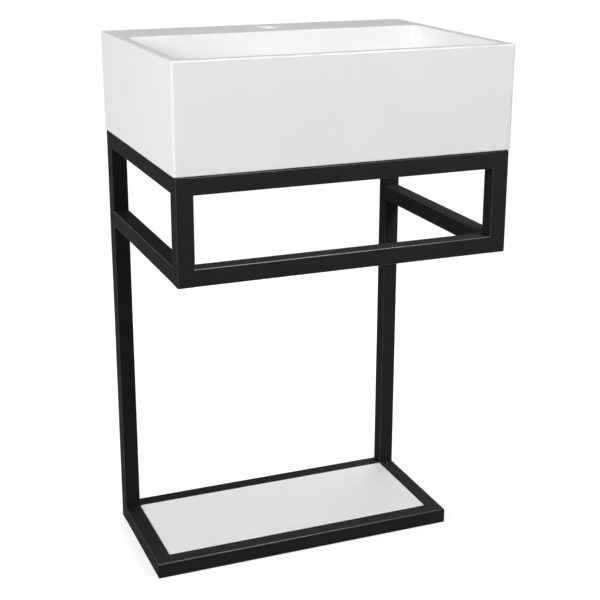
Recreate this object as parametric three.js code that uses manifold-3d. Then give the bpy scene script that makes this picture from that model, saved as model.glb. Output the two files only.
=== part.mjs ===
// Pedestal sink: a rectangular ceramic basin on a welded square-tube stand with a low shelf.
// Millimetres. +Z is up, +Y points to the wall and +X is the user's right when facing it.
// The origin is on the floor, under the middle of the basin.

import * as THREE from 'three';
import { mergeVertices } from 'three/addons/utils/BufferGeometryUtils.js';
import Module from 'manifold-3d';

const wasm = await Module();
wasm.setup();

// ---------------------------------------------------------------- driving dimensions

// Basin, outside
const basinWidth = 500;
const basinDepth = 375;
const basinHeight = 150;
const basinCorner = 4;
const basinTopEdge = 3;
const basinBottomEdge = 1.5;

// Basin, bowl and ledge
const rimWidth = 15;
const ledgeDepth = 101;
const bowlDepth = 112;
const bowlCorner = 11;
const bowlLip = 2.5;
const bowlFloorFillet = 14;
const bowlFloorCorner = 22;
const wallDraft = 3;
const floorFall = 7;

// Basin, underside
const skirtWall = 15;
const deckThickness = 14;
const floorThickness = 14;
const bowlBackWall = 16;
const cavityCorner = 8;
const cavityFillet = 6;

// Tap hole in the ledge
const tapHoleDiameter = 35;
const tapHoleChamfer = 0.7;

// Stand
const standHeight = 664;
const sideInset = 2;
const frontInset = 1;
const rearInset = 2;
const cageHeight = 150;
const baseDepth = 225;
const tubeSize = 25;
const tubeWall = 1.5;
const tubeCorner = 2;
const tubeBoreCorner = 0.5;
const mitreGap = 0.3;
const capThickness = 2;
const capEdge = 0.8;

// Wall fixing holes in the rear top rail
const wallHoleInset = 73;
const wallHoleDiameter = 7;
const driverHoleDiameter = 14;

// Pads between the stand and the basin
const basinPadThickness = 1;
const basinPadLength = 40;
const basinPadWidth = 9;
const basinPadInset = 68;
const basinPadCorner = 4;

// Shelf
const shelfThickness = 12;
const shelfClearance = 0.5;
const shelfEdge = 0.8;
const tabInset = 83;
const tabWidth = 30;
const tabReach = 20;
const tabThickness = 3;
const tabCorner = 6;
const shelfPadThickness = 1;
const shelfPadDiameter = 12;

// Levelling feet
const footInset = 23;
const footDiameter = 15;
const footHead = 4;
const footProud = 1;
const footStudDiameter = 8;
const footStudLength = 16;
const footEdge = 0.6;
const socketRadialClearance = 0.5;
const socketWall = 1;
const socketRoof = 2.2;
const socketBossWall = 2.7;
const socketBossHeight = 12;
const fitGap = 0.3;

// Waste
const wasteOffset = 20;
const drainHoleDiameter = 46;
const flangeDiameter = 64;
const flangeThickness = 2.5;
const flangeEdge = 0.8;
const flangeClearance = 0.8;
const drainRim = 1;
const flangeGasketThickness = 1;
const flangeGasketSetback = 1;
const wasteDiameter = 41.9;
const wasteBore = 35;
const tailEdge = 0.8;
const wasteInletDiameter = 48;
const wasteLength = 75;
const spiderDrop = 26;
const spiderHeight = 8;
const spiderRing = 1.5;
const spiderSpoke = 3;
const spiderBossDiameter = 17;
const cartridgeDiameter = 11;
const cartridgeHeight = 20;
const cartridgeBelow = 1;
const cartridgeCollar = 2;
const plugStemDiameter = 6;
const plugDiameter = 60;
const plugEdgeHeight = 2;
const plugCrown = 2.5;
const plugSealWidth = 3;
const plugLipHeight = 1.5;
const plugLipReach = 1;
const basinGasketDiameter = 62;
const basinGasketThickness = 6;
const basinGasketBand = 1;
const basinGasketTaper = 4;
const slipWasherThickness = 1.5;
const backNutAcrossFlats = 58;
const backNutHeight = 9;

// ---------------------------------------------------------------- places worked out

const standBottom = footProud;
const standTop = standBottom + standHeight;
const basinBottom = standTop + basinPadThickness;
const basinTop = basinBottom + basinHeight;

const standLeft = -basinWidth / 2 + sideInset;
const standRight = basinWidth / 2 - sideInset;
const standFront = -basinDepth / 2 + frontInset;
const standRear = basinDepth / 2 - rearInset;
const baseFront = standRear - baseDepth;
const cageBottom = standTop - cageHeight;
const innerLeft = standLeft + tubeSize;
const innerRight = standRight - tubeSize;
const innerFront = standFront + tubeSize;
const innerRear = standRear - tubeSize;
const footX = innerRight - footInset;

const bowlFront = -basinDepth / 2 + rimWidth;
const bowlRear = basinDepth / 2 - ledgeDepth;
const bowlSide = basinWidth / 2 - rimWidth;
const bowlMiddle = (bowlFront + bowlRear) / 2;
const drainTop = basinTop - bowlDepth;
const drainSeat = drainTop - flangeGasketThickness - flangeThickness;
const drainSeatRadius = flangeDiameter / 2 + flangeClearance;
const drainRimRadius = drainSeatRadius + drainRim;
const floorUnderside = drainTop - floorThickness;
const drainY = bowlMiddle + wasteOffset;
const tapHoleY = basinDepth / 2 - ledgeDepth / 2;
const socketRadius = footDiameter / 2 + socketRadialClearance + socketWall;

// ---------------------------------------------------------------- finishes

const finish = (color, roughness, metalness = 0) =>
  new THREE.MeshStandardMaterial({ color, roughness, metalness });

const ceramic = finish(0xf1f1ef, 0.12);
const blackCoat = finish(0x1b1b1b, 0.5);
const shelfWhite = finish(0xe6e6e4, 0.55);
const rubber = finish(0x1f1f1f, 0.9);
const clearPad = finish(0xcfd2d2, 0.6);
const chrome = finish(0xd8dadc, 0.08, 1);
const brass = finish(0xb08d4a, 0.3, 1);
const nylon = finish(0xe9e7df, 0.6);
const zincSteel = finish(0x9fa3a6, 0.4, 1);

// ---------------------------------------------------------------- shape helpers

const CORNER_STEPS = 3;
const BOWL_SIDE_STEPS = 8;
const SMALL_ROUND_STEPS = 20;
const ROUND_STEPS = 32;
const FINE_ROUND_STEPS = 48;
const CROWN_STEPS = 6;
const CUT_THROUGH = 1;

function piece(name, geometry, material) {
  const mesh = new THREE.Mesh(geometry, material);
  mesh.name = name;
  return mesh;
}

function toSolid(geometry) {
  const bare = geometry.clone();
  bare.deleteAttribute('normal');
  bare.deleteAttribute('uv');
  const merged = mergeVertices(bare);
  return new wasm.Manifold(new wasm.Mesh({
    numProp: 3,
    vertProperties: Float32Array.from(merged.attributes.position.array),
    triVerts: Uint32Array.from(merged.index.array),
  }));
}

function toGeometry(solid) {
  const mesh = solid.getMesh();
  const points = new Float32Array(mesh.numVert * 3);
  for (let i = 0; i < mesh.numVert; i += 1) {
    points.set(mesh.vertProperties.subarray(i * mesh.numProp, i * mesh.numProp + 3), i * 3);
  }
  const geometry = new THREE.BufferGeometry();
  geometry.setAttribute('position', new THREE.BufferAttribute(points, 3));
  geometry.setIndex(Array.from(mesh.triVerts));
  geometry.computeVertexNormals();
  return geometry;
}

function cut(geometry, ...tools) {
  let solid = toSolid(geometry);
  for (const tool of tools) {
    solid = solid.subtract(toSolid(tool));
  }
  return toGeometry(solid);
}

function join(geometry, ...additions) {
  let solid = toSolid(geometry);
  for (const addition of additions) {
    solid = solid.add(toSolid(addition));
  }
  return toGeometry(solid);
}

// A rounded rectangle, counter-clockwise: each corner is an arc, each side is split evenly.
function roundedRectangle(x0, y0, x1, y1, radius, cornerSteps, sideSteps) {
  const centres = [
    [x1 - radius, y0 + radius, -Math.PI / 2],
    [x1 - radius, y1 - radius, 0],
    [x0 + radius, y1 - radius, Math.PI / 2],
    [x0 + radius, y0 + radius, Math.PI],
  ];
  const arcs = centres.map(([cx, cy, start]) => {
    const arc = [];
    for (let i = 0; i <= cornerSteps; i += 1) {
      const angle = start + (Math.PI / 2) * (i / cornerSteps);
      arc.push(new THREE.Vector2(cx + radius * Math.cos(angle), cy + radius * Math.sin(angle)));
    }
    return arc;
  });
  return arcs.flatMap((arc, i) => {
    const next = arcs[(i + 1) % arcs.length][0];
    const side = [];
    for (let s = 1; s < sideSteps; s += 1) {
      side.push(arc.at(-1).clone().lerp(next, s / sideSteps));
    }
    return [...arc, ...side];
  });
}

// A closed solid through level rings of equal point count, given from the bottom up.
function loft(rings) {
  const count = rings[0].points.length;
  const positions = [];
  const index = [];
  for (const ring of rings) {
    for (const point of ring.points) {
      positions.push(point.x, point.y, ring.z);
    }
  }
  for (let r = 0; r + 1 < rings.length; r += 1) {
    for (let i = 0; i < count; i += 1) {
      const a = r * count + i;
      const b = r * count + ((i + 1) % count);
      index.push(a, b, b + count, a, b + count, a + count);
    }
  }
  const capFaces = (ring) => THREE.ShapeUtils.triangulateShape(ring.points, []);
  for (const [a, b, c] of capFaces(rings[0])) {
    index.push(c, b, a);
  }
  const last = (rings.length - 1) * count;
  for (const [a, b, c] of capFaces(rings.at(-1))) {
    index.push(last + a, last + b, last + c);
  }
  const geometry = new THREE.BufferGeometry();
  geometry.setAttribute('position', new THREE.Float32BufferAttribute(positions, 3));
  geometry.setIndex(index);
  geometry.computeVertexNormals();
  return geometry;
}

// A rounded block whose bottom and top edges are rolled over by the radii given.
function softBlock({ x0, y0, z0, x1, y1, z1, corner, bottomEdge, topEdge, sideSteps = 1 }) {
  const rings = [];
  const addRing = (inset, z) => {
    const radius = corner - inset;
    rings.push({
      z,
      points: roundedRectangle(x0 + inset, y0 + inset, x1 - inset, y1 - inset, radius,
        CORNER_STEPS, sideSteps),
    });
  };
  if (bottomEdge > 0) {
    for (let i = 0; i < CORNER_STEPS; i += 1) {
      const angle = (Math.PI / 2) * (i / CORNER_STEPS);
      addRing(bottomEdge * (1 - Math.sin(angle)), z0 + bottomEdge * (1 - Math.cos(angle)));
    }
  }
  addRing(0, z0 + bottomEdge);
  addRing(0, z1 - topEdge);
  if (topEdge > 0) {
    for (let i = 1; i <= CORNER_STEPS; i += 1) {
      const angle = (Math.PI / 2) * (i / CORNER_STEPS);
      addRing(topEdge * (1 - Math.cos(angle)), z1 - topEdge * (1 - Math.sin(angle)));
    }
  }
  return loft(rings);
}

// A solid of revolution about +Z. Profile points are [radius, height].
function turned(profile, steps = ROUND_STEPS) {
  const points = profile.map(([radius, height]) => new THREE.Vector2(radius, height));
  return new THREE.LatheGeometry(points, steps).rotateX(Math.PI / 2);
}

function ringProfile(inner, outer, bottom, top) {
  return [[inner, bottom], [outer, bottom], [outer, top], [inner, top], [inner, bottom]];
}

function disc(radius, bottom, top, steps = ROUND_STEPS) {
  return turned([[0, bottom], [radius, bottom], [radius, top], [0, top]], steps);
}

function squareShape(size, corner) {
  const half = size / 2;
  return roundedRectangle(-half, -half, half, half, corner, CORNER_STEPS, 1);
}

// ---------------------------------------------------------------- basin

function bowlSpace() {
  const lipBottom = basinTop - bowlLip;
  const floorEdge = drainTop + floorFall;
  const ring = (inset, z, corner) => ({
    z,
    points: roundedRectangle(-bowlSide + inset, bowlFront + inset, bowlSide - inset,
      bowlRear - inset, corner, CORNER_STEPS + 1, BOWL_SIDE_STEPS),
  });
  const rings = [];
  const floor = ring(wallDraft + bowlFloorFillet, floorEdge, bowlFloorCorner);
  const drain = new THREE.Vector2(0, drainY);
  const seatRim = floor.points.map((point) => (
    point.clone().sub(drain).setLength(drainRimRadius).add(drain)
  ));
  rings.push({ z: drainTop, points: seatRim }, floor);
  for (let i = 1; i <= CORNER_STEPS; i += 1) {
    const angle = (Math.PI / 2) * (i / CORNER_STEPS);
    rings.push(ring(wallDraft + bowlFloorFillet * (1 - Math.sin(angle)),
      floorEdge + bowlFloorFillet * (1 - Math.cos(angle)), bowlFloorCorner));
  }
  for (let i = 0; i <= CORNER_STEPS; i += 1) {
    const angle = (Math.PI / 2) * (i / CORNER_STEPS);
    const flare = bowlLip * (1 - Math.cos(angle));
    rings.push(ring(-flare, lipBottom + bowlLip * Math.sin(angle), bowlCorner + flare));
  }
  rings.push(ring(-bowlLip, basinTop + CUT_THROUGH, bowlCorner + bowlLip));
  return loft(rings);
}

function undersideSpaces() {
  const side = basinWidth / 2 - skirtWall;
  const shared = {
    x0: -side,
    x1: side,
    y1: basinDepth / 2 - skirtWall,
    z0: basinBottom - CUT_THROUGH,
    corner: cavityCorner,
    bottomEdge: 0,
    topEdge: cavityFillet,
  };
  const underBowl = softBlock({
    ...shared,
    y0: -basinDepth / 2 + skirtWall,
    z1: floorUnderside,
  });
  const underLedge = softBlock({
    ...shared,
    y0: bowlRear + bowlBackWall,
    z1: basinTop - deckThickness,
  });
  return [underBowl, underLedge];
}

function tapHole() {
  const radius = tapHoleDiameter / 2;
  const below = basinTop - deckThickness - CUT_THROUGH;
  return turned([
    [0, below],
    [radius, below],
    [radius, basinTop - tapHoleChamfer],
    [radius + tapHoleChamfer + CUT_THROUGH, basinTop + CUT_THROUGH],
    [0, basinTop + CUT_THROUGH],
  ]).translate(0, tapHoleY, 0);
}

function drainHole() {
  const hole = drainHoleDiameter / 2;
  return turned([
    [0, floorUnderside - CUT_THROUGH],
    [hole, floorUnderside - CUT_THROUGH],
    [hole, drainSeat],
    [drainSeatRadius, drainSeat],
    [drainSeatRadius, drainTop + CUT_THROUGH],
    [0, drainTop + CUT_THROUGH],
  ]).translate(0, drainY, 0);
}

function makeBasin() {
  const block = softBlock({
    x0: -basinWidth / 2,
    y0: -basinDepth / 2,
    z0: basinBottom,
    x1: basinWidth / 2,
    y1: basinDepth / 2,
    z1: basinTop,
    corner: basinCorner,
    bottomEdge: basinBottomEdge,
    topEdge: basinTopEdge,
  });
  const shell = cut(block, bowlSpace(), ...undersideSpaces(), tapHole(), drainHole());
  return piece('basin', shell, ceramic);
}

// ---------------------------------------------------------------- stand

const UP = new THREE.Vector3(0, 0, 1);

function tubeGeometry(length) {
  const section = new THREE.Shape(squareShape(tubeSize, tubeCorner));
  section.holes.push(new THREE.Path(squareShape(tubeSize - 2 * tubeWall, tubeBoreCorner)));
  const geometry = new THREE.ExtrudeGeometry(section, { depth: length, bevelEnabled: false });
  return geometry.translate(0, 0, -length / 2);
}

// A tube between two points on its centre line.
function tube(name, start, end) {
  const from = new THREE.Vector3(...start);
  const to = new THREE.Vector3(...end);
  const mesh = piece(name, tubeGeometry(from.distanceTo(to)), blackCoat);
  mesh.position.lerpVectors(from, to, 0.5);
  mesh.quaternion.setFromUnitVectors(UP, to.sub(from).normalize());
  return mesh;
}

// Cuts one end of a tube at 45 degrees. End is -1 at its start and +1 at its finish, and
// inward points across the section to the short side of the cut.
function mitre(mesh, end, inward) {
  const { position } = mesh.geometry.attributes;
  for (let i = 0; i < position.count; i += 1) {
    if (Math.sign(position.getZ(i)) === end) {
      const across = position.getX(i) * inward.x + position.getY(i) * inward.y;
      const shorter = tubeSize / 2 + across + mitreGap * Math.SQRT1_2;
      position.setZ(i, position.getZ(i) - end * shorter);
    }
  }
  return mesh;
}

// The same tube with holes bored by tools that stand in the stand's own frame.
function bored(mesh, ...tools) {
  mesh.updateMatrix();
  const placed = mesh.geometry.clone().applyMatrix4(mesh.matrix);
  return piece(mesh.name, cut(placed, ...tools), mesh.material);
}

function makeUprights() {
  const half = tubeSize / 2;
  const top = standTop - capThickness;
  const uprights = [
    ['left_leg', standLeft + half, standRear - half, standBottom],
    ['right_leg', standRight - half, standRear - half, standBottom],
    ['left_front_post', standLeft + half, standFront + half, cageBottom],
    ['right_front_post', standRight - half, standFront + half, cageBottom],
  ];
  return uprights.flatMap(([name, x, y, bottom]) => {
    const capSpan = { x0: x - half, x1: x + half, y0: y - half, y1: y + half, corner: tubeCorner };
    const topCap = softBlock({
      ...capSpan, z0: top, z1: standTop, bottomEdge: 0, topEdge: capEdge,
    });
    const bottomCap = softBlock({
      ...capSpan, z0: bottom, z1: bottom + capThickness, bottomEdge: capEdge, topEdge: 0,
    });
    return [
      tube(name, [x, y, bottom + capThickness], [x, y, top]),
      piece(`${name}_top_cap`, topCap, blackCoat),
      piece(`${name}_bottom_cap`, bottomCap, blackCoat),
    ];
  });
}

function makeCageRails() {
  const half = tubeSize / 2;
  const topZ = standTop - half;
  const lowZ = cageBottom + half;
  const leftX = standLeft + half;
  const rightX = standRight - half;
  const frontY = standFront + half;
  const rearY = standRear - half;
  return [
    tube('front_top_rail', [innerLeft, frontY, topZ], [innerRight, frontY, topZ]),
    tube('front_lower_rail', [innerLeft, frontY, lowZ], [innerRight, frontY, lowZ]),
    tube('left_top_rail', [leftX, innerFront, topZ], [leftX, innerRear, topZ]),
    tube('left_lower_rail', [leftX, innerFront, lowZ], [leftX, innerRear, lowZ]),
    tube('right_top_rail', [rightX, innerFront, topZ], [rightX, innerRear, topZ]),
    tube('right_lower_rail', [rightX, innerFront, lowZ], [rightX, innerRear, lowZ]),
    bored(
      tube('rear_top_rail', [innerLeft, rearY, topZ], [innerRight, rearY, topZ]),
      ...wallFixingHoles(topZ),
    ),
  ];
}

// Two holes through the back wall of the rail, each behind a wider one for the screwdriver.
function wallFixingHoles(z) {
  const reach = tubeWall + 2 * CUT_THROUGH;
  const drill = (diameter, x, y) => (
    disc(diameter / 2, -reach / 2, reach / 2, SMALL_ROUND_STEPS)
      .rotateX(Math.PI / 2).translate(x, y, z)
  );
  return [-1, 1].flatMap((side) => {
    const x = side * (innerRight - wallHoleInset);
    return [
      drill(wallHoleDiameter, x, standRear - tubeWall / 2),
      drill(driverHoleDiameter, x, innerRear + tubeWall / 2),
    ];
  });
}

function makeBaseRing() {
  const half = tubeSize / 2;
  const z = standBottom + half;
  const frontY = baseFront + half;
  const rearY = standRear - half;
  const front = tube('base_front_rail', [standLeft, frontY, z], [standRight, frontY, z]);
  mitre(front, -1, new THREE.Vector2(0, 1));
  mitre(front, 1, new THREE.Vector2(0, 1));
  const left = tube('base_left_rail', [standLeft + half, baseFront, z],
    [standLeft + half, innerRear, z]);
  const right = tube('base_right_rail', [standRight - half, baseFront, z],
    [standRight - half, innerRear, z]);
  return [
    bored(front, ...socketHoles(frontY)),
    mitre(left, -1, new THREE.Vector2(1, 0)),
    mitre(right, -1, new THREE.Vector2(-1, 0)),
    bored(
      tube('base_rear_rail', [innerLeft, rearY, z], [innerRight, rearY, z]),
      ...socketHoles(rearY),
    ),
  ];
}

function socketHoles(y) {
  const radius = socketRadius + fitGap;
  const bottom = standBottom - CUT_THROUGH;
  const top = standBottom + tubeWall + CUT_THROUGH;
  return [-1, 1].map((side) => disc(radius, bottom, top).translate(side * footX, y, 0));
}

function makeBasinPads() {
  const skirtFront = -basinDepth / 2 + skirtWall;
  const frontY = (standFront + skirtFront) / 2;
  const rearY = (standRear - skirtFront) / 2;
  return atCorners(standRight - basinPadInset, frontY, rearY).map(([corner, x, y]) => piece(
    `basin_pad_${corner}`,
    softBlock({
      x0: x - basinPadLength / 2,
      x1: x + basinPadLength / 2,
      y0: y - basinPadWidth / 2,
      y1: y + basinPadWidth / 2,
      z0: standTop,
      z1: basinBottom,
      corner: basinPadCorner,
      bottomEdge: 0,
      topEdge: 0,
    }),
    clearPad,
  ));
}

// Names and places of the four pieces that stand at the front and rear, left and right.
function atCorners(x, frontY, rearY) {
  return [
    ['front_left', -x, frontY],
    ['front_right', x, frontY],
    ['rear_left', -x, rearY],
    ['rear_right', x, rearY],
  ];
}

// ---------------------------------------------------------------- shelf

function tabOutline(facing) {
  const half = tabWidth / 2;
  const shape = new THREE.Shape();
  shape.moveTo(half, 0);
  shape.lineTo(half, tabReach - tabCorner);
  shape.absarc(half - tabCorner, tabReach - tabCorner, tabCorner, 0, Math.PI / 2);
  shape.lineTo(-half + tabCorner, tabReach);
  shape.absarc(-half + tabCorner, tabReach - tabCorner, tabCorner, Math.PI / 2, Math.PI);
  shape.lineTo(-half, 0);
  const plate = new THREE.ExtrudeGeometry(shape, {
    depth: tabThickness, bevelEnabled: false, curveSegments: CORNER_STEPS,
  });
  return facing > 0 ? plate : plate.rotateZ(Math.PI);
}

function makeShelf() {
  const shelfTop = standBottom + tubeSize;
  const shelfBottom = shelfTop - shelfThickness;
  const padBottom = shelfBottom - shelfPadThickness;
  const ringFront = baseFront + tubeSize;
  const panel = softBlock({
    x0: innerLeft + shelfClearance,
    x1: innerRight - shelfClearance,
    y0: ringFront + shelfClearance,
    y1: innerRear - shelfClearance,
    z0: shelfBottom,
    z1: shelfTop,
    corner: tubeCorner,
    bottomEdge: shelfEdge,
    topEdge: shelfEdge,
  });
  const supports = atCorners(innerRight - tabInset, ringFront, innerRear).flatMap(([corner, x, y]) => {
    const facing = y === ringFront ? 1 : -1;
    const tab = piece(`shelf_tab_${corner}`, tabOutline(facing), blackCoat);
    tab.position.set(x, y, padBottom - tabThickness);
    const padShape = disc(shelfPadDiameter / 2, 0, shelfPadThickness, SMALL_ROUND_STEPS);
    const pad = piece(`shelf_pad_${corner}`, padShape, clearPad);
    pad.position.set(x, y + facing * tabReach / 2, padBottom);
    return [tab, pad];
  });
  return [piece('shelf_panel', panel, shelfWhite), ...supports];
}

// ---------------------------------------------------------------- levelling feet

// A cup let into the tube's underside, with a threaded boss on its roof.
function socketGeometry() {
  const cupRadius = socketRadius - socketWall;
  const studHole = footStudDiameter / 2 + fitGap;
  const bossRadius = studHole + socketBossWall;
  const ceiling = footHead - footProud + fitGap;
  return turned([
    [cupRadius, 0],
    [socketRadius, 0],
    [socketRadius, ceiling + socketRoof],
    [bossRadius, ceiling + socketRoof],
    [bossRadius, socketBossHeight],
    [studHole, socketBossHeight],
    [studHole, ceiling],
    [cupRadius, ceiling],
    [cupRadius, 0],
  ]);
}

function footGeometry() {
  const head = footDiameter / 2;
  const stud = footStudDiameter / 2;
  const tip = footHead + footStudLength;
  return turned([
    [0, 0],
    [head - footEdge, 0],
    [head, footEdge],
    [head, footHead],
    [stud, footHead],
    [stud, tip - footEdge],
    [stud - footEdge, tip],
    [0, tip],
  ], SMALL_ROUND_STEPS);
}

function makeFeet() {
  const frontY = baseFront + tubeSize / 2;
  const rearY = standRear - tubeSize / 2;
  return atCorners(footX, frontY, rearY).flatMap(([corner, x, y]) => {
    const socket = piece(`foot_socket_${corner}`, socketGeometry(), zincSteel);
    socket.position.set(x, y, standBottom);
    const foot = piece(`levelling_foot_${corner}`, footGeometry(), nylon);
    foot.position.set(x, y, 0);
    return [socket, foot];
  });
}

// ---------------------------------------------------------------- waste
// Heights in this section are measured up from the seat that the flange is bedded on.

const flangeBottom = flangeGasketThickness;
const flangeTop = flangeBottom + flangeThickness;
const wasteRadius = wasteDiameter / 2;
const boreRadius = wasteBore / 2;
const inletRadius = wasteInletDiameter / 2;
const tailBottom = flangeTop - wasteLength;
const tailTop = flangeTop - (inletRadius - boreRadius);
const spiderTop = flangeTop - spiderDrop;
const spiderBottom = spiderTop - spiderHeight;
const undersideZ = floorUnderside - drainSeat;

// The flange and its 45 degree inlet, brazed to the top of the tail.
function flangeGeometry() {
  const flange = flangeDiameter / 2;
  return turned([
    [boreRadius, tailTop],
    [wasteRadius, tailTop],
    [wasteRadius, flangeBottom],
    [flange, flangeBottom],
    [flange, flangeTop - 2 * flangeEdge],
    [flange - flangeEdge, flangeTop - flangeEdge / 2],
    [flange - 3 * flangeEdge, flangeTop],
    [inletRadius, flangeTop],
    [boreRadius, tailTop],
  ], FINE_ROUND_STEPS);
}

function tailGeometry() {
  return turned([
    [boreRadius, tailBottom],
    [wasteRadius - tailEdge, tailBottom],
    [wasteRadius, tailBottom + tailEdge],
    [wasteRadius, tailTop],
    [boreRadius, tailTop],
    [boreRadius, tailBottom],
  ]);
}

// The three-armed carrier, screwed into the bore, that holds the plug's cartridge.
function spiderGeometry() {
  const outer = boreRadius - fitGap;
  const inner = outer - spiderRing;
  const ring = turned(ringProfile(inner, outer, spiderBottom, spiderTop));
  const boss = disc(spiderBossDiameter / 2, spiderBottom, spiderTop);
  const spokes = [0, 1, 2].map((turn) => {
    const length = (inner + outer) / 2;
    const spoke = new THREE.BoxGeometry(length, spiderSpoke, spiderHeight);
    spoke.translate(length / 2, 0, (spiderBottom + spiderTop) / 2);
    return spoke.rotateZ((turn * 2 * Math.PI) / 3);
  });
  const cartridgeHole = disc(cartridgeDiameter / 2 + fitGap, spiderBottom - CUT_THROUGH,
    spiderTop + CUT_THROUGH);
  return cut(join(ring, boss, ...spokes), cartridgeHole);
}

function cartridgeGeometry() {
  const inner = plugStemDiameter / 2 + fitGap;
  const outer = cartridgeDiameter / 2;
  const collar = (outer + spiderBossDiameter / 2) / 2;
  const bottom = spiderBottom - cartridgeBelow;
  return turned([
    [inner, bottom],
    [outer, bottom],
    [outer, spiderTop],
    [collar, spiderTop],
    [collar, spiderTop + cartridgeCollar],
    [outer, spiderTop + cartridgeCollar],
    [outer, bottom + cartridgeHeight],
    [inner, bottom + cartridgeHeight],
    [inner, bottom],
  ], SMALL_ROUND_STEPS);
}

// The seal hangs in a groove under the plug and beds on the 45 degree inlet.
const plugUnderside = flangeTop + fitGap;
const sealTop = plugUnderside - fitGap;
const sealBottom = plugUnderside - plugSealWidth + fitGap;
const sealOuter = inletRadius - (flangeTop - sealBottom) - fitGap * Math.SQRT2;
const sealInner = sealOuter - plugSealWidth;

function plugGeometry() {
  const radius = plugDiameter / 2;
  const stem = plugStemDiameter / 2;
  const hub = sealInner - fitGap;
  const hubLip = hub + plugLipReach;
  const lipTop = plugUnderside - plugSealWidth;
  const lipBottom = lipTop - plugLipHeight;
  const rimTop = plugUnderside + plugEdgeHeight;
  const crown = [];
  for (let i = 0; i < CROWN_STEPS; i += 1) {
    const angle = (Math.PI / 2) * (i / CROWN_STEPS);
    crown.push([radius * Math.cos(angle), rimTop + plugCrown * Math.sin(angle)]);
  }
  return turned([
    [0, spiderBottom],
    [stem, spiderBottom],
    [stem, lipBottom],
    [hubLip, lipBottom],
    [hubLip, lipTop],
    [hub, lipTop],
    [hub, plugUnderside],
    [radius, plugUnderside],
    ...crown,
    [0, rimTop + plugCrown],
  ], FINE_ROUND_STEPS);
}

function backNutGeometry() {
  const corner = backNutAcrossFlats / Math.sqrt(3);
  const shape = new THREE.Shape();
  const corners = [0, 1, 2, 3, 4, 5].map((i) => (
    new THREE.Vector2(corner, 0).rotateAround(new THREE.Vector2(), (i * Math.PI) / 3)
  ));
  shape.setFromPoints(corners);
  const hole = new THREE.Path();
  hole.absarc(0, 0, wasteRadius + fitGap, 0, 2 * Math.PI, true);
  shape.holes.push(hole);
  return new THREE.ExtrudeGeometry(shape, {
    depth: backNutHeight, bevelEnabled: false, curveSegments: ROUND_STEPS,
  });
}

function makeWaste() {
  const around = wasteRadius + fitGap;
  const gasketBottom = undersideZ - basinGasketThickness;
  const washerBottom = gasketBottom - slipWasherThickness;
  const gasketOuter = basinGasketDiameter / 2;
  const gasketFoot = gasketOuter - basinGasketTaper;
  const flangeGasket = turned(ringProfile(
    drainHoleDiameter / 2 + flangeGasketSetback,
    flangeDiameter / 2 - flangeGasketSetback,
    0,
    flangeGasketThickness,
  ));
  const basinGasket = turned([
    [around, gasketBottom],
    [gasketFoot, gasketBottom],
    [gasketOuter, undersideZ - basinGasketBand],
    [gasketOuter, undersideZ],
    [around, undersideZ],
    [around, gasketBottom],
  ]);
  const washer = turned(ringProfile(around, gasketFoot, washerBottom, gasketBottom));
  const seal = turned(ringProfile(sealInner, sealOuter, sealBottom, sealTop));
  const nut = piece('back_nut', backNutGeometry(), brass);
  nut.position.z = washerBottom - backNutHeight;
  const waste = new THREE.Group();
  waste.add(
    piece('waste_flange', flangeGeometry(), chrome),
    piece('waste_tail', tailGeometry(), chrome),
    piece('flange_gasket', flangeGasket, rubber),
    piece('basin_gasket', basinGasket, rubber),
    piece('slip_washer', washer, nylon),
    nut,
    piece('plug_spider', spiderGeometry(), brass),
    piece('plug_cartridge', cartridgeGeometry(), brass),
    piece('waste_plug', plugGeometry(), chrome),
    piece('plug_seal', seal, rubber),
  );
  waste.position.set(0, drainY, drainSeat);
  return waste;
}

// ---------------------------------------------------------------- assembly

function makeStand() {
  const stand = new THREE.Group();
  stand.add(...makeUprights(), ...makeCageRails(), ...makeBaseRing(), ...makeBasinPads());
  stand.add(...makeShelf(), ...makeFeet());
  return stand;
}

const pedestalSink = new THREE.Group();
pedestalSink.add(makeBasin(), makeWaste(), makeStand());

export default pedestalSink;
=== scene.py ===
"""Pedestal sink: a fireclay basin on a welded square-tube stand with a low white shelf.

Metres throughout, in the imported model's own frame: +Z is up and +Y points to the wall.
Each operator models one piece, or one group of like pieces, and puts it on its body.
"""

import math

import bmesh
import bpy
from bpy.props import FloatProperty, FloatVectorProperty, PointerProperty
from mathutils import Euler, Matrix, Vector


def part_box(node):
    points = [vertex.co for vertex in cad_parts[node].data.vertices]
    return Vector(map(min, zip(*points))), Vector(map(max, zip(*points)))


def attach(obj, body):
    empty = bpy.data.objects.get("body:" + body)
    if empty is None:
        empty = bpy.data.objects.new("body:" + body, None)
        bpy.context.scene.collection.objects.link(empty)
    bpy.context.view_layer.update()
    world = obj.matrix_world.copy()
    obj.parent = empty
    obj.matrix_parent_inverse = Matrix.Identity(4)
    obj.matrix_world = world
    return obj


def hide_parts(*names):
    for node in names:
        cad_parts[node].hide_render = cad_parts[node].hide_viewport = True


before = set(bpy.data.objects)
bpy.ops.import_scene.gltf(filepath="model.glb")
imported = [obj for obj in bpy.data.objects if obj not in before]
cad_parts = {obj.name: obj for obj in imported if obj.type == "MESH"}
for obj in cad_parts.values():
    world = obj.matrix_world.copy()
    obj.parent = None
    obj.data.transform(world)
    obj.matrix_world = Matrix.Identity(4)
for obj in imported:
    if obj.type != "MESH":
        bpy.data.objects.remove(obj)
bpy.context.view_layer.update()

bl_info = {
    "name": "Pedestal Sink",
    "version": (1, 0, 0),
    "blender": (4, 5, 0),
    "location": "3D View > Sidebar > Pedestal Sink",
    "description": "Models a ceramic basin on a welded tube stand, piece by piece",
    "category": "Add Mesh",
}

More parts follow.
